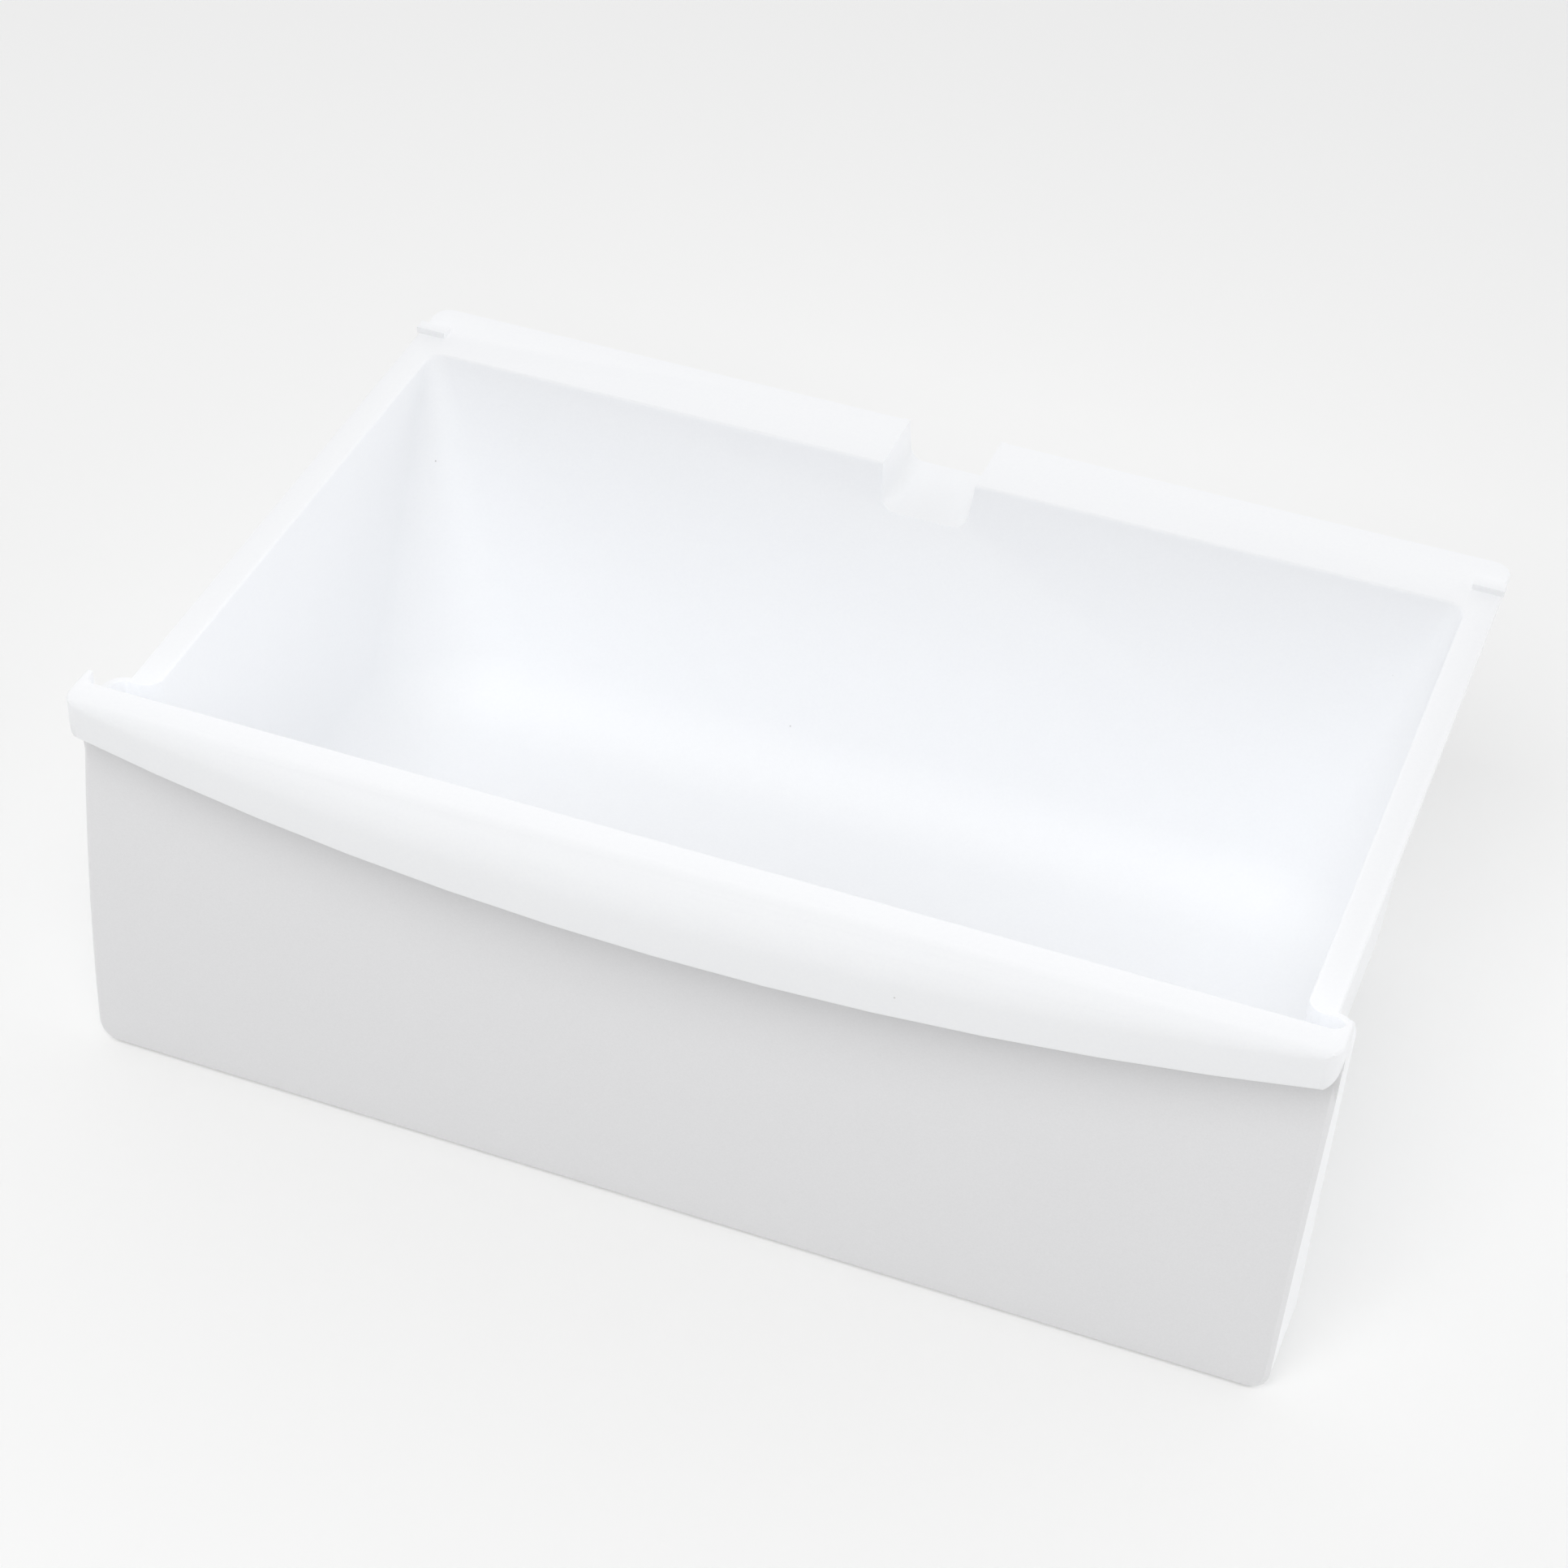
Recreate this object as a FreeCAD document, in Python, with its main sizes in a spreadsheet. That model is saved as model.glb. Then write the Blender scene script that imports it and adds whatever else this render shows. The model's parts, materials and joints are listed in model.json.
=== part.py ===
"""Refrigerator crisper drawer: one thin-walled moulding with a tapered tub, slide flanges and a handle lip.

The drawer stands on its floor with +Z up and its front towards -Y. The origin is on the floor, in the
middle of the drawer's width and depth. The outside is built as a few overlapping forms, the hollows are
built the same way one wall smaller, and the drawer is the outside less the hollows.
"""
import FreeCAD, Part
import math
import os
import Sketcher

NODE = "crisper_drawer"

# name, millimetres, what it is
SIZES = [
    ("drawer_depth", 302.0, "front plane to the back edge of the rim"),
    ("rim_width", 440.0, "across the two side flanges"),
    ("rim_height", 139.0, "floor underside to the top of the flanges"),
    ("wall", 2.5, "moulded wall, the same everywhere"),
    ("flange_side", 11.0, "flange, from its outer edge to the tub's mouth, at the sides"),
    ("flange_back", 31.0, "the same at the back"),
    ("flange_corner", 7.0, "plan radius of the flange's back corners"),
    ("floor_width", 408.0, "inside width of the tub at its floor"),
    ("back_setback", 37.0, "how far the back wall's foot lies ahead of its top"),
    ("mouth_corner", 6.0, "inside corner radius of the tub at its mouth"),
    ("floor_corner", 55.0, "inside corner radius of the tub at its floor"),
    ("floor_fillet", 32.0, "inside radius between floor and walls"),
    ("front_width", 454.6, "front panel at the rim's height"),
    ("foot_width", 446.2, "front panel at its foot"),
    ("foot_corner", 8.0, "rounding of the panel's lower corners"),
    ("panel_height", 130.0, "height of the bowed part of the panel"),
    ("panel_foot", 1.0, "how far the panel's foot lies behind the front plane"),
    ("panel_setback", 22.3, "the same for the panel's top"),
    ("panel_radius", 800.0, "radius of the panel's bow, seen from the side"),
    ("bay_depth", 46.0, "front plane to the back of the wide front bay"),
    ("bay_corner", 8.5, "outer plan radius where the bay turns to the flange"),
    ("bay_throat", 7.0, "inner plan radius at the rim where the tub opens into the bay"),
    ("lip_rise", 13.4, "top of the handle lip above the flanges"),
    ("lip_proud", 0.2, "end of the lip outside the panel's side"),
    ("lip_setback", 12.1, "front of the lip's ends behind the front plane"),
    ("lip_drop_mid", 29.0, "height of the lip's nose in the middle"),
    ("lip_drop_end", 15.0, "height of the lip's nose at its ends"),
    ("lip_round_mid", 16.0, "rounding of the nose in the middle"),
    ("lip_round_end", 2.0, "rounding of the nose at its ends"),
    ("lip_corner", 7.0, "plan radius of the lip's ends"),
    ("lip_end_round", 7.0, "rounding of the lip's lower corners, seen from the front"),
    ("lip_tail", 30.3, "front plane to the back tips of the lip's ends"),
    ("horn_round", 4.0, "inside plan radius between the lip and the bay's sides"),
    ("notch_width", 37.4, "back notch at the rim"),
    ("notch_floor_width", 34.6, "back notch at its floor"),
    ("notch_depth", 18.3, "rim to the notch's floor"),
    ("notch_corner", 6.0, "radius in the notch's lower corners"),
    ("nub_length", 12.0, "stop nub, across the flange"),
    ("nub_width", 5.0, "stop nub, along the flange"),
    ("nub_height", 2.5, "stop nub above the flange"),
    ("nub_overhang", 0.6, "stop nub past the flange's edge"),
    ("nub_distance", 18.1, "back edge of the rim to the middle of a nub"),
    ("mouth_round", 1.5, "rounded edge between flanges and tub"),
    ("panel_bevel", 1.8, "bevelled outline of the front panel"),
    ("flange_bevel", 0.6, "bevelled upper edge of the flanges"),
    ("lip_low_round", 1.0, "rounded lower edge of the lip"),
    ("lip_back_round", 1.0, "rounded back edge of the lip's flat top"),
]

doc = FreeCAD.newDocument("CrisperDrawer")
sheet = doc.addObject("Spreadsheet::Sheet", "Dim")
for row, (alias, number, note) in enumerate(SIZES, 1):
    sheet.set(f"A{row}", alias)
    sheet.set(f"B{row}", str(number))
    sheet.setAlias(f"B{row}", alias)
    sheet.set(f"C{row}", note)
doc.recompute()

# Places that several sketches share, as expressions of the sizes.
FRONT = "-Dim.drawer_depth / 2"
BACK = "Dim.drawer_depth / 2"
MEETING = f"{FRONT} + Dim.bay_depth * 3 / 4"            # in the front bay: tub and flanges end here
MOUTH_HALF = "(Dim.rim_width / 2 - Dim.flange_side)"
MOUTH_BACK = f"({BACK} - Dim.flange_back)"
LIP_TOP = "(Dim.rim_height + Dim.lip_rise)"
LIP_HALF = "(Dim.front_width / 2 + Dim.lip_proud)"
HEAD = f"({FRONT} + Dim.panel_setback)"                 # outer face of the front wall behind the lip
SLACK = 0.01                                            # how close two places count as the same
LEAST_ROUND = "Dim.wall / 5"                            # smallest rounding of a form that starts sharp
CLEAR = 5.0                                             # how far a cutting form runs past what it cuts
LIP_SECTIONS = 13                                       # sections along the lip, end to end
CORNER_SHARES = ("0", "1 / 3", "2 / 3", "1")            # heights of a back corner's sections
HANDS = (("", "Right"), ("-", "Left"))                  # sign of the expressions on each side


def value(expression):
    """The number that an expression of the sizes gives now."""
    result = sheet.evalExpression(expression)
    return float(getattr(result, "Value", result))


def between(start, end, share):
    """Expression for the value a share of the way from start to end."""
    return f"(({start}) * (1 - {share}) + ({end}) * ({share}))"


def new_body(label):
    body = doc.addObject("PartDesign::Body", label)
    body.Label = label
    return body


def new_sketch(body, role, name, offset="0"):
    """A sketch on one of the body's own planes, moved along the plane's normal by an expression."""
    plane = [p for p in body.Origin.OriginFeatures if p.Role == role][0]
    sketch = body.newObject("Sketcher::SketchObject", name)
    sketch.AttachmentSupport = [(plane, "")]
    sketch.MapMode = "FlatFace"
    if offset != "0":
        sketch.setExpression("AttachmentOffset.Base.z", offset)
    return sketch


def bind(sketch, constraint, expression, name):
    index = sketch.addConstraint(constraint)
    sketch.renameConstraint(index, name)
    sketch.setExpression(f"Constraints.{name}", expression)


def pin(sketch, geometry, place, corner, name):
    """Hold a point of the sketch at a corner's two expressions."""
    x, y = corner[0], corner[1]
    if x == "0":
        sketch.addConstraint(Sketcher.Constraint("PointOnObject", geometry, place, -2))
    else:
        bind(sketch, Sketcher.Constraint("DistanceX", -1, 1, geometry, place, value(x)), x, name + "_x")
    if y == "0":
        sketch.addConstraint(Sketcher.Constraint("PointOnObject", geometry, place, -1))
    else:
        bind(sketch, Sketcher.Constraint("DistanceY", -1, 1, geometry, place, value(y)), y, name + "_y")


def arc_between(start, end, radius, left):
    """Circular arc from start to end whose centre lies to the left or the right of the way."""
    chord = end - start
    middle = (start + end) * 0.5
    side = FreeCAD.Vector(-chord.y, chord.x, 0).normalize()
    rise = math.sqrt(radius ** 2 - (chord.Length / 2) ** 2)
    centre = middle + side * (rise if left else -rise)
    first, last = (start, end) if left else (end, start)
    angles = [math.atan2(p.y - centre.y, p.x - centre.x) for p in (first, last)]
    circle = Part.Circle(centre, FreeCAD.Vector(0, 0, 1), radius)
    return Part.ArcOfCircle(circle, angles[0], angles[1])


def outline(sketch, label, corners, bows=None):
    """A closed outline through corners (x, y) or (x, y, radius), each an expression of the sizes.

    bows maps the index of a side to (radius, centre on the left?) where that side is an arc and not a line.
    """
    bows = bows or {}
    count = len(corners)
    points = [FreeCAD.Vector(value(c[0]), value(c[1]), 0) for c in corners]
    starts, ends, rounds = list(points), list(points), {}
    for i, corner in enumerate(corners):
        if len(corner) < 3:
            continue
        radius = value(corner[2])
        to_last = (points[i - 1] - points[i]).normalize()
        to_next = (points[(i + 1) % count] - points[i]).normalize()
        half = math.acos(to_last.dot(to_next)) / 2
        ends[i] = points[i] + to_last * (radius / math.tan(half))
        starts[i] = points[i] + to_next * (radius / math.tan(half))
        turns_left = (to_last.cross(to_next)).z < 0
        rounds[i] = (radius, turns_left)
    sides = []
    for i in range(count):
        start, end = starts[i], ends[(i + 1) % count]
        if i in bows:
            radius, left = bows[i]
            sides.append(sketch.addGeometry(arc_between(start, end, value(radius), left), False))
            bind(sketch, Sketcher.Constraint("Radius", sides[i], value(radius)), radius, f"{label}_bow{i}")
        else:
            sides.append(sketch.addGeometry(Part.LineSegment(start, end), False))

    def tip(i, at_start):
        """The end of side i that its way starts or ends at; an arc with its centre right runs backwards."""
        backwards = i in bows and not bows[i][1]
        return 1 if at_start != backwards else 2

    for i, corner in enumerate(corners):
        last = (i - 1) % count
        name = f"{label}_c{i}"
        if i not in rounds:
            joint = Sketcher.Constraint("Coincident", sides[last], tip(last, False), sides[i], tip(i, True))
            sketch.addConstraint(joint)
            pin(sketch, sides[i], tip(i, True), corner, name)
            continue
        radius, turns_left = rounds[i]
        arc = sketch.addGeometry(arc_between(ends[i], starts[i], radius, turns_left), False)
        first, second = (1, 2) if turns_left else (2, 1)
        sketch.addConstraint(Sketcher.Constraint("Tangent", sides[last], 2, arc, first))
        sketch.addConstraint(Sketcher.Constraint("Tangent", arc, second, sides[i], 1))
        bind(sketch, Sketcher.Constraint("Radius", arc, radius), corner[2], name + "_r")
        point = sketch.addGeometry(Part.Point(points[i]), True)
        sketch.addConstraint(Sketcher.Constraint("PointOnObject", point, 1, sides[last]))
        sketch.addConstraint(Sketcher.Constraint("PointOnObject", point, 1, sides[i]))
        pin(sketch, point, 1, corner, name)


def pad(body, name, sketch, length, reverse=False):
    feature = body.newObject("PartDesign::Pad", name)
    feature.Profile = sketch
    feature.setExpression("Length", length)
    feature.Reversed = reverse
    doc.recompute()
    return feature


def pocket_through(body, name, sketch):
    """Cut a sketch right through the body, both ways, and make sure that it took something away."""
    before = body.Shape.Volume
    feature = body.newObject("PartDesign::Pocket", name)
    feature.Profile = sketch
    feature.Type = "ThroughAll"
    feature.Midplane = True
    doc.recompute()
    if not body.Shape.Volume < before - 1.0:
        raise RuntimeError(name + " cuts nothing")
    return feature


def pocket(body, name, sketch, length, reverse=False):
    """Cut a sketch out of the body against its plane's normal, or along the normal."""
    feature = body.newObject("PartDesign::Pocket", name)
    feature.Profile = sketch
    feature.setExpression("Length", length)
    feature.Reversed = reverse
    doc.recompute()
    return feature


def loft(body, name, sketches, kind="AdditiveLoft"):
    """Straight-lined loft through sketches, added to the body or cut out of it."""
    feature = body.newObject("PartDesign::" + kind, name)
    feature.Profile = sketches[0]
    feature.Sections = sketches[1:]
    feature.Ruled = True
    doc.recompute()
    return feature


def edge_names(shape, wanted):
    """Names of the edges that pass a test, for a fillet."""
    names = [f"Edge{i}" for i, edge in enumerate(shape.Edges, 1) if wanted(edge)]
    if not names:
        raise RuntimeError("no edge found for a fillet")
    return names


def fillet(body, name, wanted, size, bevel=False):
    """Round or bevel the edges that pass a test."""
    base = body.Tip
    feature = body.newObject("PartDesign::Chamfer" if bevel else "PartDesign::Fillet", name)
    feature.Base = (base, edge_names(base.Shape, wanted))
    feature.setExpression("Size" if bevel else "Radius", size)
    doc.recompute()
    return feature


def spread(edge):
    """Lowest and highest corner of an edge."""
    box = edge.BoundBox
    return FreeCAD.Vector(box.XMin, box.YMin, box.ZMin), FreeCAD.Vector(box.XMax, box.YMax, box.ZMax)


def near(a, b, slack=SLACK):
    return abs(a - b) < slack


def part_fillet(label, base, wanted, alias):
    """Fillet of one named size on the edges of a boolean result."""
    radius = value(f"Dim.{alias}")
    numbers = [i for i, edge in enumerate(base.Shape.Edges, 1) if wanted(edge)]
    if not numbers:
        raise RuntimeError("no edge found for " + label)
    feature = doc.addObject("Part::Fillet", label)
    feature.Base = base
    feature.Edges = [(number, radius, radius) for number in numbers]
    doc.recompute()
    return feature


def tub(label, skin, base):
    """Tapered tub between its floor and the rim, larger than the hollow by skin; its foot stands at base.

    The back corners are conical: tight at the mouth and wide at the floor.
    """
    body = new_body(label)
    foot_half, mouth_half = f"Dim.floor_width / 2 + {skin}", f"{MOUTH_HALF} + {skin}"
    foot_back, mouth_back = f"{MOUTH_BACK} - Dim.back_setback + {skin}", f"{MOUTH_BACK} + {skin}"
    view = new_sketch(body, "XZ_Plane", label + "View", f"-({MEETING})")
    outline(view, "edge", [(f"-({foot_half})", base), (foot_half, base),
                           (mouth_half, "Dim.rim_height"), (f"-({mouth_half})", "Dim.rim_height")])
    pad(body, label + "Block", view, f"{mouth_back} - ({MEETING})", True)
    side = new_sketch(body, "YZ_Plane", label + "Side")
    behind, below = f"{mouth_back} + {CLEAR}", f"{base} - {CLEAR}"
    outline(side, "cut", [(foot_back, below), (behind, below), (behind, "Dim.rim_height"),
                          (mouth_back, "Dim.rim_height"), (foot_back, base)])
    pocket_through(body, label + "Slope", side)

    for sign, hand in HANDS:
        sections = []
        for level, share in enumerate(CORNER_SHARES):
            height = between(base, "Dim.rim_height", share)
            half = between(foot_half, mouth_half, share)
            back = between(foot_back, mouth_back, share)
            radius = between(f"Dim.floor_corner + {skin}", f"Dim.mouth_corner + {skin}", share)
            section = new_sketch(body, "XY_Plane", f"{label}{hand}Level{level}", height)
            inner, outer = f"{sign}({half} - {radius})", f"{sign}({half} + {CLEAR})"
            behind = f"{back} + {CLEAR}"
            ahead = f"{back} - {radius}"
            outline(section, "cut", [(f"{sign}{half}", ahead), (inner, back), (inner, behind),
                                     (outer, behind), (outer, ahead)],
                    bows={0: (radius, hand == "Right")})
            sections.append(section)
        loft(body, label + hand + "Corner", sections, "SubtractiveLoft")

    foot, front = value(base), value(MEETING)

    def foot_edge(edge):
        low, high = spread(edge)
        return near(low.z, foot) and near(high.z, foot) and not near(high.y, front)

    fillet(body, label + "Bottom", foot_edge, f"Dim.floor_fillet + {skin}")
    return body


def front_bay(label, inset, base, top):
    """Wide front of the drawer behind the bowed panel, smaller than the outside by inset."""
    body = new_body(label)
    view = new_sketch(body, "XZ_Plane", label + "View", f"-({FRONT})")
    foot_half, half = f"Dim.foot_width / 2 - {inset}", f"Dim.front_width / 2 - {inset}"
    corner = f"Dim.foot_corner - {inset}"
    corners = [(f"-({foot_half})", base, corner), (foot_half, base, corner), (half, "Dim.rim_height"),
               (half, top), (f"-({half})", top), (f"-({half})", "Dim.rim_height")]
    if top == "Dim.rim_height":
        del corners[3:5]
    outline(view, "edge", corners)
    pad(body, label + "Block", view, f"Dim.bay_depth - {inset}", True)

    side = new_sketch(body, "YZ_Plane", label + "Side")
    foot, head = f"{FRONT} + Dim.panel_foot + {inset}", f"{HEAD} + {inset}"
    above, below, ahead = f"{top} + {CLEAR}", f"-{CLEAR}", f"{FRONT} - {CLEAR}"
    outline(side, "cut", [(foot, below), (foot, "0"), (head, "Dim.panel_height"), (head, above),
                          (ahead, above), (ahead, below)],
            bows={1: ("Dim.panel_radius", False)})
    pocket_through(body, label + "Bow", side)
    back = value(f"{FRONT} + Dim.bay_depth - {inset}")

    def back_corner(edge):
        low, high = spread(edge)
        return near(low.y, back) and near(high.y, back) and high.z - low.z > value("Dim.panel_height") / 4

    def panel_edge(edge):
        low, high = spread(edge)
        tall = high.z - low.z > value("Dim.panel_height") / 2
        return tall and high.y - low.y > value("Dim.panel_setback") / 2

    fillet(body, label + "Corners", back_corner, f"Dim.bay_corner - {inset}")
    if inset == "0":
        fillet(body, label + "Outline", panel_edge, "Dim.panel_bevel", bevel=True)
        return body

    # Behind the lip the front wall turns into the bay's sides with a hollow round.
    horns = new_sketch(body, "XY_Plane", label + "Horns", "Dim.panel_height")
    behind, ahead = f"{head} + Dim.horn_round", f"{head} - {CLEAR}"
    for sign, hand in HANDS:
        inner, outer = f"{sign}({half} - Dim.horn_round)", f"{sign}({half} + {CLEAR})"
        outline(horns, hand, [(f"{sign}({half})", behind), (inner, head), (inner, ahead),
                              (outer, ahead), (outer, behind)],
                bows={0: ("Dim.horn_round", hand == "Left")})
    pocket(body, label + "HornPocket", horns, f"{top} - Dim.panel_height", True)
    return body


def lip(label, inset):
    """Nose of the handle lip: low and sharp at its ends, deep, round and proud in the middle.

    Seen from above and from the front its edges are parabolas, so each section's share of the way from the
    middle to an end, squared, gives its setback, its height and its rounding.
    """
    body = new_body(label)
    half = f"({LIP_HALF} - {inset})"
    top = f"{LIP_TOP} - {inset}"
    sections = []
    for step in range(LIP_SECTIONS):
        share = f"({2 * step - LIP_SECTIONS + 1} / {LIP_SECTIONS - 1})"
        section = new_sketch(body, "YZ_Plane", f"{label}Section{step}", f"{half} * {share}")
        nose = f"{FRONT} + {inset} + Dim.lip_setback * {share} ^ 2"
        drop = between("Dim.lip_drop_mid", "Dim.lip_drop_end", f"{share} ^ 2")
        rounding = between("Dim.lip_round_mid", "Dim.lip_round_end", f"{share} ^ 2")
        if inset == "0":
            tail, low = f"{FRONT} + Dim.lip_tail", (nose, f"{LIP_TOP} - {drop}", "Dim.lip_low_round")
        else:
            tail, low = HEAD, (nose, f"{LIP_TOP} - Dim.lip_drop_mid - {CLEAR}")
        shoulder = f"max({rounding} - {inset}; {LEAST_ROUND})"
        outline(section, "edge", [low, (tail, low[1]), (tail, top), (nose, top, shoulder)])
        sections.append(section)
    loft(body, label + "Nose", sections)

    def ends(name, role, offset, radius, face):
        """A sketch of what rounds both ends off, where face gives the lip's edge in the sketch's plane."""
        trim = new_sketch(body, role, label + name, offset)
        inner = f"({half} - {radius})"
        edge = face(f"({inner} / {half}) ^ 2")
        for sign, hand in HANDS:
            outer, end, off = f"{sign}({half} + {CLEAR})", f"{edge} + {radius}", f"{edge} - {CLEAR}"
            outline(trim, hand, [(f"{sign}{half}", end), (f"{sign}{inner}", edge), (f"{sign}{inner}", off),
                                 (outer, off), (outer, end)],
                    bows={0: (radius, hand == "Left")})
        return trim

    plan = ends("Plan", "XY_Plane", "0", f"(Dim.lip_corner - {inset})",
                lambda share: f"({FRONT} + {inset} + Dim.lip_setback * {share})")
    pocket_through(body, label + "PlanEnds", plan)
    if inset == "0":
        view = ends("View", "XZ_Plane", f"-({FRONT})", "Dim.lip_end_round",
                    lambda share: f"({LIP_TOP} - {between('Dim.lip_drop_mid', 'Dim.lip_drop_end', share)})")
        pocket(body, label + "ViewEnds", view, "Dim.panel_setback")
    return body


def flange():
    """Flat slide flange round the mouth, with a stop nub across each side near the back."""
    body = new_body("Flange")
    plan = new_sketch(body, "XY_Plane", "FlangePlan", "Dim.rim_height")
    half = "Dim.rim_width / 2"
    outline(plan, "edge", [(f"-{half}", MEETING), (half, MEETING),
                           (half, BACK, "Dim.flange_corner"), (f"-{half}", BACK, "Dim.flange_corner")])
    pad(body, "FlangePlate", plan, "Dim.wall", True)
    rim, front = value("Dim.rim_height"), value(MEETING)

    def upper_edge(edge):
        low, high = spread(edge)
        return near(low.z, rim) and not near(high.y, front)

    fillet(body, "FlangeEdge", upper_edge, "Dim.flange_bevel", bevel=True)
    nubs = new_sketch(body, "XY_Plane", "NubPlan", "Dim.rim_height")
    outer = f"({half} + Dim.nub_overhang)"
    inner = f"({outer} - Dim.nub_length)"
    near_y, far_y = [f"{BACK} - Dim.nub_distance {sign} Dim.nub_width / 2" for sign in "-+"]
    outline(nubs, "right", [(inner, near_y), (outer, near_y), (outer, far_y), (inner, far_y)])
    outline(nubs, "left", [(f"-{outer}", near_y), (f"-{inner}", near_y),
                           (f"-{inner}", far_y), (f"-{outer}", far_y)])
    pad(body, "Nubs", nubs, "Dim.nub_height")
    return body


def notch(label, skin, start, run):
    """Step through the back flange, larger than its hollow by skin, from start backwards over run."""
    body = new_body(label)
    view = new_sketch(body, "XZ_Plane", label + "View", f"-({start})")
    half, floor_half = f"Dim.notch_width / 2 + {skin}", f"Dim.notch_floor_width / 2 + {skin}"
    floor, corner = f"Dim.rim_height - Dim.notch_depth - {skin}", f"Dim.notch_corner + {skin}"
    corners = [(f"-({floor_half})", floor, corner), (floor_half, floor, corner), (half, "Dim.rim_height"),
               (f"-({half})", "Dim.rim_height")]
    if skin == "0":
        above = f"Dim.rim_height + {CLEAR}"
        corners[3:3] = [(half, above), (f"-({half})", above)]
    outline(view, "edge", corners)
    pad(body, label + "Step", view, run, True)
    return body


def throat(sign, hand):
    """Rounds the upright edge where a side wall of the tub turns outwards into the front bay.

    The rounding starts sharp at half the height and widens up to the rim.
    """
    body = new_body("Throat" + hand)
    bay_back = f"({FRONT} + Dim.bay_depth - Dim.wall)"
    start = between("Dim.wall", "Dim.rim_height", "1 / 2")
    start_half = between("Dim.floor_width / 2", MOUTH_HALF, "1 / 2")
    sections = []
    for level, height, half, radius in (("Start", start, start_half, LEAST_ROUND),
                                        ("Mouth", "Dim.rim_height", MOUTH_HALF, "Dim.bay_throat")):
        section = new_sketch(body, "XY_Plane", "Throat" + hand + level, height)
        inner, outer = f"{sign}({half} - {CLEAR})", f"{sign}({half} + {radius})"
        behind, ahead = f"{bay_back} + {radius}", f"{bay_back} - {CLEAR}"
        outline(section, "cut", [(f"{sign}{half}", behind), (inner, behind), (inner, ahead),
                                 (outer, ahead), (outer, bay_back)],
                bows={4: (radius, hand == "Left")})
        sections.append(section)
    loft(body, "ThroatLoft" + hand, sections)
    return body


lip_shell = doc.addObject("Part::Cut", "LipShell")
lip_shell.Base = lip("LipOutside", "0")
lip_shell.Tool = lip("LipHollow", "Dim.wall")
outside = [tub("TubOutside", "Dim.wall", "0"),
           front_bay("BayOutside", "0", "0", "Dim.rim_height"),
           lip_shell,
           flange(),
           notch("NotchOutside", "Dim.wall", f"{MOUTH_BACK} - Dim.back_setback / 2",
                 "Dim.flange_back + Dim.back_setback / 2")]
hollow = [tub("TubHollow", "0", "Dim.wall"),
          front_bay("BayHollow", "Dim.wall", "Dim.wall", f"{LIP_TOP} + {CLEAR}"),
          notch("NotchHollow", "0", f"{MOUTH_BACK} - Dim.back_setback",
                f"Dim.flange_back + Dim.back_setback + {CLEAR}")]

solid = doc.addObject("Part::MultiFuse", "Outside")
solid.Shapes = outside
hollows = doc.addObject("Part::MultiFuse", "Hollow")
hollows.Shapes = hollow
shell = doc.addObject("Part::Cut", "Shell")
shell.Base = solid
shell.Tool = hollows
doc.recompute()


def mouth_edge(edge):
    """Inner edge of the side and back flanges, behind the bay and up to the notch."""
    low, high = spread(edge)
    half, back = value(MOUTH_HALF), value(MOUTH_BACK)
    level = near(low.z, value("Dim.rim_height")) and near(high.z, value("Dim.rim_height"))
    reach = max(abs(low.x), abs(high.x))
    at_side = near(reach, half) and near(low.x, high.x, value("Dim.mouth_corner") * 2)
    inside = reach < half + SLACK and high.y < back + SLACK
    behind = low.y > value(f"{FRONT} + Dim.bay_depth")
    return level and inside and behind and (at_side or near(low.y, back))


def lip_back_edge(edge):
    low, high = spread(edge)
    level = near(low.z, value(LIP_TOP)) and near(high.z, value(LIP_TOP))
    place = value(f"{HEAD} + Dim.wall")
    return level and near(low.y, place) and near(high.y, place)


rounded = part_fillet("MouthRound", shell, mouth_edge, "mouth_round")
for sign, hand in HANDS:
    opened = doc.addObject("Part::Cut", "Opened" + hand)
    opened.Base = rounded
    opened.Tool = throat(sign, hand)
    rounded = opened
doc.recompute()
drawer = part_fillet("Drawer", rounded, lip_back_edge, "lip_back_round")
drawer.Label = NODE
doc.recompute()

for thing in doc.Objects:
    bad = [state for state in thing.State if state in ("Invalid", "Error")]
    if bad:
        raise RuntimeError(f"{thing.Name} is {bad}")
shape = drawer.Shape
if shape.isNull() or not shape.isValid() or len(shape.Solids) != 1:
    raise RuntimeError("the drawer is not one valid solid")
os.makedirs("parts", exist_ok=True)
shape.exportStep(f"parts/{NODE}.step")
box = shape.optimalBoundingBox(False, False)
print(f"{NODE}: {box.XLength:.1f} x {box.YLength:.1f} x {box.ZLength:.1f} mm, {shape.Volume:.0f} mm3")
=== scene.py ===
# %% [markdown]
# # A refrigerator crisper drawer
#
# The real drawer is one injection moulding in white polystyrene: a tapered tub, a flat slide flange round
# its mouth, a bowed front panel and a handle lip that overhangs it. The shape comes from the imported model,
# which loads as a fixed frame in metres, with the floor at z = 0 and the front towards -Y. This lesson adds
# what a shape alone lacks: the mould's fine edge rounds, two surface finishes, a floor, light and a camera.

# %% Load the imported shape
import json
import math

import bpy
from mathutils import Euler, Matrix, Vector

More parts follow.
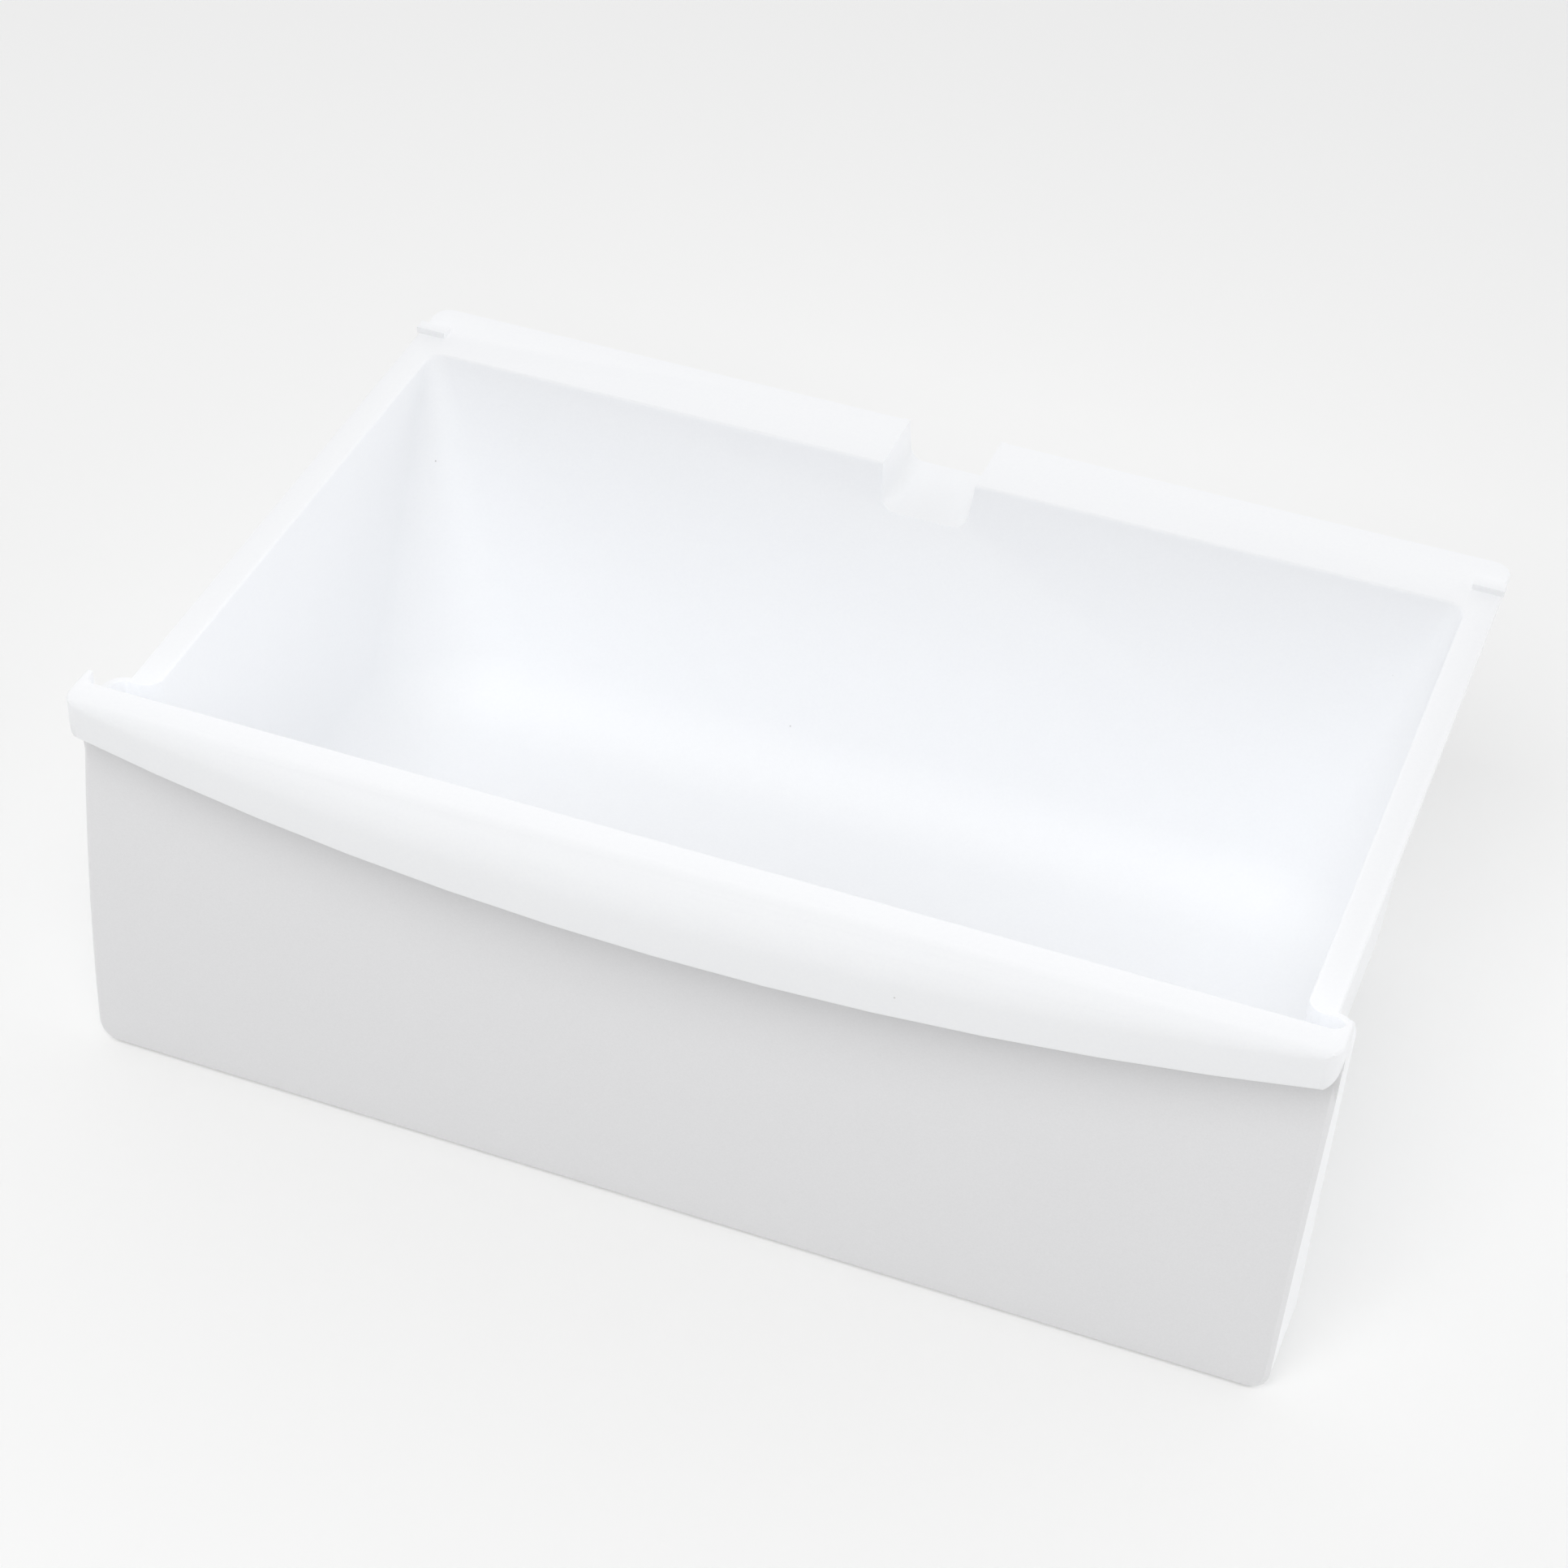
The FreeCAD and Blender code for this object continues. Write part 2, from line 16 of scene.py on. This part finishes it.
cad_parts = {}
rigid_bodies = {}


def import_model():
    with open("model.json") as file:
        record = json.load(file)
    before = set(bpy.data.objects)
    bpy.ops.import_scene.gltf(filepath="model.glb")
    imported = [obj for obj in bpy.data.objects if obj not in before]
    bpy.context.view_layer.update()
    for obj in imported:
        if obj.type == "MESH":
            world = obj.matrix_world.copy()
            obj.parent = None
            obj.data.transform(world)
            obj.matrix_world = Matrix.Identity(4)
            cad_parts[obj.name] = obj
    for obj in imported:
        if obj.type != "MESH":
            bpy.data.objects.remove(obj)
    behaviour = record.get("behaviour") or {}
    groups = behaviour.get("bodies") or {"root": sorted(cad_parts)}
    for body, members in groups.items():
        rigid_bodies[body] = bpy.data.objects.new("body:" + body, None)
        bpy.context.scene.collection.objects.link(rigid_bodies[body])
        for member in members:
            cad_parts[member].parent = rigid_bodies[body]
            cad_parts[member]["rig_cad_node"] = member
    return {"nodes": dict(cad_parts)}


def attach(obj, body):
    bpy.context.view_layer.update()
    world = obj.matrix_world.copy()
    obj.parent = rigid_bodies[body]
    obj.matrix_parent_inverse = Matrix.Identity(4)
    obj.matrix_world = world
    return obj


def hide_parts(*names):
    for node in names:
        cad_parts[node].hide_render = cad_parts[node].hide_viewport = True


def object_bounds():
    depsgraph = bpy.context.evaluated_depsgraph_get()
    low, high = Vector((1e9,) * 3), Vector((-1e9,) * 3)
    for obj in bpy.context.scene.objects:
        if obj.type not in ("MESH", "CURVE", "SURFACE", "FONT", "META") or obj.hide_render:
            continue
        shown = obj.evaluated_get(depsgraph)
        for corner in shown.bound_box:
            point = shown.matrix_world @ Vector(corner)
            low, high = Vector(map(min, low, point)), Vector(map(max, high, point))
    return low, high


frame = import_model()
cad_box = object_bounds()
cad_node = frame["nodes"]["crisper_drawer"]
print("frame", [round(c, 4) for corner in cad_box for c in corner], len(cad_node.data.polygons), "triangles")

# %% [markdown]
# The handle lip is the drawer's widest, highest and foremost part, so the box gives its half length, its top
# and its nose. Places on and near the lip are measured from these three further on, in millimetres.

# %% Where the lip is
MM = 0.001

lip_nose = cad_box[0][1]
lip_half = cad_box[1][0]
lip_top = cad_box[1][2]
print("lip nose", round(lip_nose, 4), "half length", round(lip_half, 4), "top", round(lip_top, 4))

# %% [markdown]
# ## The camera
#
# A photographer stood to the right of the drawer and looked down into it with a long lens. The camera could
# be placed by eye, but its angles are known from the drawer's own straight edges, so they are written as
# numbers: how far round, how far down, and the small roll of a hand-held camera.

# %% Camera at the photographer's place
CAMERA_PLACE = Vector((0.33896, -0.95915, 0.96283))
CAMERA_ROUND = math.radians(20.063)
CAMERA_DOWN = math.radians(41.011)
CAMERA_ROLL = math.radians(1.716)
CAMERA_LENS_MM = 83.835
CAMERA_SENSOR_MM = 36.0

turn = Euler((math.pi / 2 - CAMERA_DOWN, 0.0, CAMERA_ROUND)).to_matrix()
turn = turn @ Matrix.Rotation(CAMERA_ROLL, 3, "Z")
bpy.ops.object.camera_add(location=CAMERA_PLACE, rotation=turn.to_euler())
camera = bpy.context.active_object
camera.name = "photographer"
camera.data.lens = CAMERA_LENS_MM
camera.data.sensor_width = CAMERA_SENSOR_MM
bpy.context.scene.camera = camera
print("camera", [round(c, 3) for c in camera.location], "lens", camera.data.lens)

# %% [markdown]
# ## Colours and nodes
#
# Colours are written as sRGB hex values, the way a paint card gives them, and one function turns them to the
# linear values that a shader adds up. A second function adds any node, sets its sockets and links it, so that
# each material below reads as a short list. A third starts an empty material.


# %% Three helpers for materials
def linear(hex_colour):
    """Linear RGBA of an sRGB hex colour, by the curve of the sRGB standard."""
    channels = [int(hex_colour[i:i + 2], 16) / 255 for i in (0, 2, 4)]
    return [c / 12.92 if c <= 0.04045 else ((c + 0.055) / 1.055) ** 2.4 for c in channels] + [1.0]


def add_node(tree_owner, kind, settings=None, **sockets):
    """Add a node; a socket is named, or numbered as _0, and gets a constant or another node's output."""
    node = tree_owner.node_tree.nodes.new(kind)
    for name, setting in (settings or {}).items():
        setattr(node, name, setting)
    for name, content in sockets.items():
        socket = node.inputs[int(name[1:])] if name[0] == "_" else node.inputs[name.replace("_", " ")]
        if isinstance(content, bpy.types.NodeSocket):
            tree_owner.node_tree.links.new(content, socket)
        else:
            socket.default_value = content
    return node


def new_material(name):
    """An empty node material and its output node."""
    material = bpy.data.materials.new(name)
    material.use_nodes = True
    material.node_tree.nodes.clear()
    return material, add_node(material, "ShaderNodeOutputMaterial")


print("middle grey 808080 is linear", [round(c, 3) for c in linear("808080")])

# %% [markdown]
# ## The floor and the light
#
# The drawer stands on a plain white sheet. A softbox hangs high in front of it and puts the lip's shadow on
# the panel. The room does the rest: pale walls at the sides and behind the drawer, a dimmer ceiling, and
# hardly any light from low in front, where the photographer stands. That is partly why the upright panel
# looks greyer than the tub, which collects light from above and passes it from wall to wall; the rest is
# painted shade in the panel's colour, further on. The levels are set so that a level white surface renders
# about as its colour is written. The softbox is hidden from reflections, as a photographer hides a lamp
# behind a screen, because its image would shine out of the round between wall and floor.

# %% White sheet on the floor
FLOOR_SIZE = 14.0
PAPER_WHITE = "FAFAF9"
PAPER_ROUGHNESS = 0.9

bpy.ops.object.select_all(action="DESELECT")
bpy.ops.mesh.primitive_plane_add(size=FLOOR_SIZE, location=(0, 0, 0))
floor = bpy.context.active_object
floor.name = "white_sheet"
paper, paper_out = new_material("matt_white_paper")
paper_shader = add_node(paper, "ShaderNodeBsdfPrincipled", Base_Color=linear(PAPER_WHITE),
                        Roughness=PAPER_ROUGHNESS)
paper.node_tree.links.new(paper_shader.outputs["BSDF"], paper_out.inputs["Surface"])
floor.data.materials.append(paper)
print("floor", FLOOR_SIZE, "m across")

# %% Softbox high in front
SOFTBOX_SIZE = 1.6
SOFTBOX_PLACE = Vector((0.05, -1.25, 1.88))
SOFTBOX_AIM = Vector((0.0, 0.0, 0.08))
SOFTBOX_WATTS = 17.8

bpy.ops.object.light_add(type="AREA", location=SOFTBOX_PLACE)
softbox = bpy.context.active_object
softbox.name = "softbox"
softbox.data.size = SOFTBOX_SIZE
softbox.data.energy = SOFTBOX_WATTS
softbox.visible_glossy = False
softbox.rotation_euler = (SOFTBOX_PLACE - SOFTBOX_AIM).to_track_quat("Z", "Y").to_euler()
print("softbox", SOFTBOX_WATTS, "W at", [round(c, 2) for c in SOFTBOX_PLACE])

# %% [markdown]
# The room is a world whose strength follows the direction that light comes from. Height alone gives the pale
# walls below and the dimmer ceiling above. Height plus distance to the back is lowest where the photographer
# stands, and dims that side. The camera and the drawer's reflections see a plain pale room instead. A
# direction is an arrow of length 1, so its height goes from -1, straight down, to 1, straight up.

# %% Light of the pale room
WALL_STRENGTH = 1.5
CEILING_STRENGTH = 0.62
WALL_TOP, CEILING_START = 0.4, 0.6
DARK_FRONT, LIT_FRONT = -0.55, 0.0
ROOM_WHITE = "FCFCFD"

world = bpy.context.scene.world or bpy.data.worlds.new("pale_room")
bpy.context.scene.world = world
world.use_nodes = True
world.node_tree.nodes.clear()
direction = add_node(world, "ShaderNodeTexCoord").outputs["Generated"]
way = add_node(world, "ShaderNodeSeparateXYZ", Vector=direction)
height, depth = way.outputs["Z"], way.outputs["Y"]
walls = add_node(world, "ShaderNodeMapRange", Value=height, From_Min=WALL_TOP, From_Max=CEILING_START,
                 To_Min=WALL_STRENGTH, To_Max=CEILING_STRENGTH)
front = add_node(world, "ShaderNodeMath", {"operation": "ADD"}, _0=height, _1=depth)
lit = add_node(world, "ShaderNodeMapRange", Value=front.outputs["Value"], From_Min=DARK_FRONT,
               From_Max=LIT_FRONT)
level = add_node(world, "ShaderNodeMath", {"operation": "MULTIPLY"}, _0=walls.outputs["Result"],
                 _1=lit.outputs["Result"])
room = add_node(world, "ShaderNodeBackground", Color=linear(ROOM_WHITE), Strength=level.outputs["Value"])
print("room", WALL_STRENGTH, "to", CEILING_STRENGTH)

# %% What the camera and reflections see of the room
SEEN_WHITE = "F2F2F0"

seen_room = add_node(world, "ShaderNodeBackground", Color=linear(SEEN_WHITE), Strength=1.0)
ray = add_node(world, "ShaderNodeLightPath").outputs
seen = add_node(world, "ShaderNodeMath", {"operation": "MAXIMUM"}, _0=ray["Is Camera Ray"],
                _1=ray["Is Glossy Ray"])
seen = add_node(world, "ShaderNodeMath", {"operation": "MAXIMUM"}, _0=seen.outputs["Value"],
                _1=ray["Is Transmission Ray"])
view = add_node(world, "ShaderNodeMixShader", _0=seen.outputs["Value"], _1=room.outputs["Background"],
                _2=seen_room.outputs["Background"])
add_node(world, "ShaderNodeOutputWorld", Surface=view.outputs["Shader"])
print("seen room", SEEN_WHITE)

# %% [markdown]
# A white tub passes light from wall to wall many times before it fades. With few bounces its corners would
# come out too dark, so the render follows light further than usual. The Standard view shows each colour as it
# is worked out, where a film-like view would turn white to grey.

# %% How far light is followed and how colours show
ALL_BOUNCES = 16
DIFFUSE_BOUNCES = 12

bpy.context.scene.view_settings.view_transform = "Standard"
bpy.context.scene.cycles.max_bounces = ALL_BOUNCES
bpy.context.scene.cycles.diffuse_bounces = DIFFUSE_BOUNCES
print("bounces", ALL_BOUNCES, "of which diffuse", DIFFUSE_BOUNCES)

# %% [markdown]
# ## The moulding
#
# The drawer is a single shell, so it stays a single piece. Its copy is merged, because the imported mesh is
# loose triangles, and its flat faces are dissolved to whole polygons. A real mould has no knife-sharp edges:
# a narrow bevel on every crease gives the thin bright lines that run along the rims in white plastic. The
# outer top edge of the lip's two ends, where the hand passes, gets a wider round first. One wide bevel all
# over could do both, but it would eat up the thin flanges.

# %% Copy and merge the shell
MERGE_GAP = 0.02 * MM
FLAT_ANGLE = math.radians(0.4)

bpy.ops.object.select_all(action="DESELECT")
cad_node.select_set(True)
bpy.context.view_layer.objects.active = cad_node
bpy.ops.object.duplicate()
drawer = bpy.context.active_object
drawer.name = "moulded_drawer"
# The copy is a new piece, so it drops the mark that the loader gave its original.
del drawer["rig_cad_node"]
bpy.ops.mesh.customdata_custom_splitnormals_clear()
bpy.ops.object.mode_set(mode="EDIT")
bpy.ops.mesh.select_all(action="SELECT")
bpy.ops.mesh.remove_doubles(threshold=MERGE_GAP)
bpy.ops.mesh.dissolve_limited(angle_limit=FLAT_ANGLE)
bpy.ops.object.mode_set(mode="OBJECT")
print("merged", len(drawer.data.vertices), "points", len(drawer.data.polygons), "faces")

# %% [markdown]
# The edges to round lie between a face that looks up and one that looks outwards, at the ends of the lip.
# The bevel leaves a thin sliver that would render dark, and merging close points closes it.

# %% Pick the edges at the ends of the lip
LIP_END_LENGTH = 4.0 * MM
LIP_END_DEPTH = 31.0 * MM
LEVEL_GAP = 0.2 * MM
# How steeply a face's normal points up.
LOOKS_UP = 0.9
STANDS_UPRIGHT = 0.2


def at_lip_end(point):
    """Whether a point lies on the level top of one of the lip's two ends."""
    far_out = abs(point.x) > lip_half - LIP_END_LENGTH
    in_front = point.y < lip_nose + LIP_END_DEPTH
    return far_out and in_front and point.z > lip_top - LEVEL_GAP


bpy.ops.object.mode_set(mode="EDIT")
bpy.ops.mesh.select_mode(type="EDGE")
bpy.ops.mesh.select_all(action="DESELECT")
bpy.ops.object.mode_set(mode="OBJECT")
top_edges = set()
outer_edges = set()
for face in drawer.data.polygons:
    if face.normal.z > LOOKS_UP:
        top_edges.update(face.edge_keys)
    if face.normal.z < STANDS_UPRIGHT and face.normal.x * face.center.x > 0.0:
        outer_edges.update(face.edge_keys)
for edge in drawer.data.edges:
    at_end = all(at_lip_end(drawer.data.vertices[i].co) for i in edge.vertices)
    edge.select = at_end and edge.key in top_edges and edge.key in outer_edges
print("lip end edges picked", sum(edge.select for edge in drawer.data.edges))

# %% Round them
LIP_END_ROUND = 1.2 * MM
LIP_END_SEGMENTS = 3
SLIVER_GAP = 0.3 * MM

bpy.ops.object.mode_set(mode="EDIT")
bpy.ops.mesh.bevel(offset=LIP_END_ROUND, segments=LIP_END_SEGMENTS, clamp_overlap=True)
bpy.ops.mesh.remove_doubles(threshold=SLIVER_GAP)
bpy.ops.object.mode_set(mode="OBJECT")
print("lip ends rounded", len(drawer.data.polygons), "faces")

# %% Bevel every crease, attach the copy and hide the original
EDGE_ROUND = 0.3 * MM
EDGE_SEGMENTS = 2
CREASE_ANGLE = math.radians(32)

bevel = drawer.modifiers.new("edge_round", "BEVEL")
bevel.width = EDGE_ROUND
bevel.segments = EDGE_SEGMENTS
bevel.limit_method = "ANGLE"
bevel.angle_limit = CREASE_ANGLE
bpy.ops.object.modifier_apply(modifier=bevel.name)
bpy.ops.object.shade_smooth_by_angle(angle=CREASE_ANGLE)
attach(drawer, "root")
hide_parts("crisper_drawer")
print("bevelled", len(drawer.data.vertices), "points", len(drawer.data.polygons), "faces")

# %% [markdown]
# ## Gloss white polystyrene
#
# Polystyrene filled with white pigment takes the polish of the steel it is moulded against. Up close its
# colour is not quite even: pigment leaves a faint speckle, and now and then a grain of dirt is caught in the
# melt. The polish is that of a tool that has run for years, so reflections are soft, and a fine orange peel
# breaks them up. Speckle and peel are drawn some times coarser than they are, or no picture would show them.

# %% Colour of the gloss finish
SPECKLE_MM = 1.1
DIRT_SPACING_MM = 26.0
DIRT_RADIUS_MM = 0.45
# A grain is evenly grey over this share of its radius, then fades out.
DIRT_CORE = 0.6
DIRT_STRENGTH = 0.45
WHITE_LOW, WHITE_HIGH = "F7F8FA", "FBFCFD"
DIRT_GREY = "8E8B86"

gloss, gloss_out = new_material("gloss_white_polystyrene")
place = add_node(gloss, "ShaderNodeTexCoord").outputs["Object"]
speckle = add_node(gloss, "ShaderNodeTexNoise", Vector=place, Scale=1 / (SPECKLE_MM * MM), Detail=1.0)
white = add_node(gloss, "ShaderNodeValToRGB", Fac=speckle.outputs["Fac"])
white.color_ramp.elements[0].color = linear(WHITE_LOW)
white.color_ramp.elements[1].color = linear(WHITE_HIGH)
dirt = add_node(gloss, "ShaderNodeTexVoronoi", Vector=place, Scale=1 / (DIRT_SPACING_MM * MM))
dirt_edge = DIRT_RADIUS_MM / DIRT_SPACING_MM
dirt_mask = add_node(gloss, "ShaderNodeMapRange", Value=dirt.outputs["Distance"],
                     From_Min=dirt_edge * DIRT_CORE, From_Max=dirt_edge, To_Min=DIRT_STRENGTH, To_Max=0.0)
colour = add_node(gloss, "ShaderNodeMix", {"data_type": "RGBA"}, Factor=dirt_mask.outputs["Result"],
                  _6=white.outputs["Color"], _7=linear(DIRT_GREY))
print("gloss colour", WHITE_LOW, "to", WHITE_HIGH)

# %% Polish of the gloss finish
PEEL_MM = 1.6
PEEL_BUMP = 0.1
PEEL_HEIGHT = 0.02 * MM
PEEL_LOW, PEEL_HIGH = 0.3, 0.7
POLISH_FINE, POLISH_WORN = 0.34, 0.4
POLYSTYRENE_IOR = 1.59

peel = add_node(gloss, "ShaderNodeTexNoise", Vector=place, Scale=1 / (PEEL_MM * MM), Detail=1.0)
peel_bump = add_node(gloss, "ShaderNodeBump", Strength=PEEL_BUMP, Distance=PEEL_HEIGHT,
                     Height=peel.outputs["Fac"])
polish = add_node(gloss, "ShaderNodeMapRange", Value=peel.outputs["Fac"], From_Min=PEEL_LOW,
                  From_Max=PEEL_HIGH, To_Min=POLISH_FINE, To_Max=POLISH_WORN)
gloss_shader = add_node(gloss, "ShaderNodeBsdfPrincipled", Base_Color=colour.outputs[2], IOR=POLYSTYRENE_IOR,
                        Roughness=polish.outputs["Result"], Normal=peel_bump.outputs["Normal"])
gloss.node_tree.links.new(gloss_shader.outputs["BSDF"], gloss_out.inputs["Surface"])
print("gloss material", len(gloss.node_tree.nodes), "nodes")

# %% [markdown]
# ## Spark-eroded front panel
#
# The front panel is the same plastic against a mould face that a spark eroder left finely pitted, so it
# looks matt. Its colour is painted a shade greyer than the gloss white, as painted shade for the
# lesser light on an upright face. The pits of the real surface are about a tenth of a millimetre, too
# fine to show, so they are drawn some times coarser.

# %% Matt finish of the front panel, with painted shade in its colour
PIT_MM = 0.7
PIT_BUMP = 0.2
PIT_DEPTH = 0.1 * MM
MATT_ROUGHNESS = 0.55
# The same white plastic painted a shade darker, as painted shade, with random pitted tone between the two.
PAINTED_SHADE_LOW, PAINTED_SHADE_HIGH = "E7E7E8", "EEEEEF"

matt, matt_out = new_material("spark_eroded_polystyrene_painted_shade")
place = add_node(matt, "ShaderNodeTexCoord").outputs["Object"]
pits = add_node(matt, "ShaderNodeTexNoise", Vector=place, Scale=1 / (PIT_MM * MM), Detail=2.0)
grey = add_node(matt, "ShaderNodeValToRGB", Fac=pits.outputs["Fac"])
grey.color_ramp.elements[0].color = linear(PAINTED_SHADE_LOW)
grey.color_ramp.elements[1].color = linear(PAINTED_SHADE_HIGH)
pit_bump = add_node(matt, "ShaderNodeBump", Strength=PIT_BUMP, Distance=PIT_DEPTH,
                    Height=pits.outputs["Fac"])
matt_shader = add_node(matt, "ShaderNodeBsdfPrincipled", Base_Color=grey.outputs["Color"],
                       IOR=POLYSTYRENE_IOR, Roughness=MATT_ROUGHNESS, Normal=pit_bump.outputs["Normal"])
matt.node_tree.links.new(matt_shader.outputs["BSDF"], matt_out.inputs["Surface"])
print("matt material", len(matt.node_tree.nodes), "nodes")

# %% [markdown]
# ## Which face gets which finish
#
# The finishes meet at edges of the shell, so each face has one, picked by its place and the way it points.
# The panel is what faces forwards below and behind the lip. The hollow of the lip, which is the inner side of
# its nose, its ceiling and its two ends, gets the matt finish too, so its greyer colour is painted shade in
# the recess under the lip. All other faces are polished.

# %% Tell the two finishes apart
panel_top = lip_top - 33.9 * MM
panel_back = lip_nose + 26.0 * MM
behind_lip = lip_nose + 16.5 * MM
hollow_back = lip_nose + 22.5 * MM
hollow_ceiling = lip_top - 9.9 * MM
hollow_half = lip_half - 2.0 * MM
# How far a face's normal has to point one way.
MOSTLY = 0.5
SLIGHTLY = 0.2
GLOSS, MATT = 0, 1


def finish_of(face):
    """Which of the two finishes a face of the shell has."""
    x, y, z = face.center
    below_or_behind_lip = z < panel_top or y > behind_lip
    if face.normal.y < -MOSTLY and y < panel_back and below_or_behind_lip:
        return MATT
    if y > hollow_back or z < panel_top:
        return GLOSS
    # The lip's hollow takes the matt finish, whose greyer colour is painted shade in the recess.
    inner_nose = face.normal.y > SLIGHTLY
    ceiling = face.normal.z < -SLIGHTLY and z > hollow_ceiling
    inner_end = abs(x) < hollow_half and face.normal.x * x < 0 and abs(face.normal.x) > MOSTLY
    return MATT if inner_nose or ceiling or inner_end else GLOSS


print("finishes", {"gloss": GLOSS, "matt": MATT})

# %% Assign the two finishes
drawer.data.materials.clear()
for finish in (gloss, matt):
    drawer.data.materials.append(finish)
for face in drawer.data.polygons:
    face.material_index = finish_of(face)
counts = [sum(face.material_index == kind for face in drawer.data.polygons) for kind in (GLOSS, MATT)]
print("faces that are gloss and matt", counts)
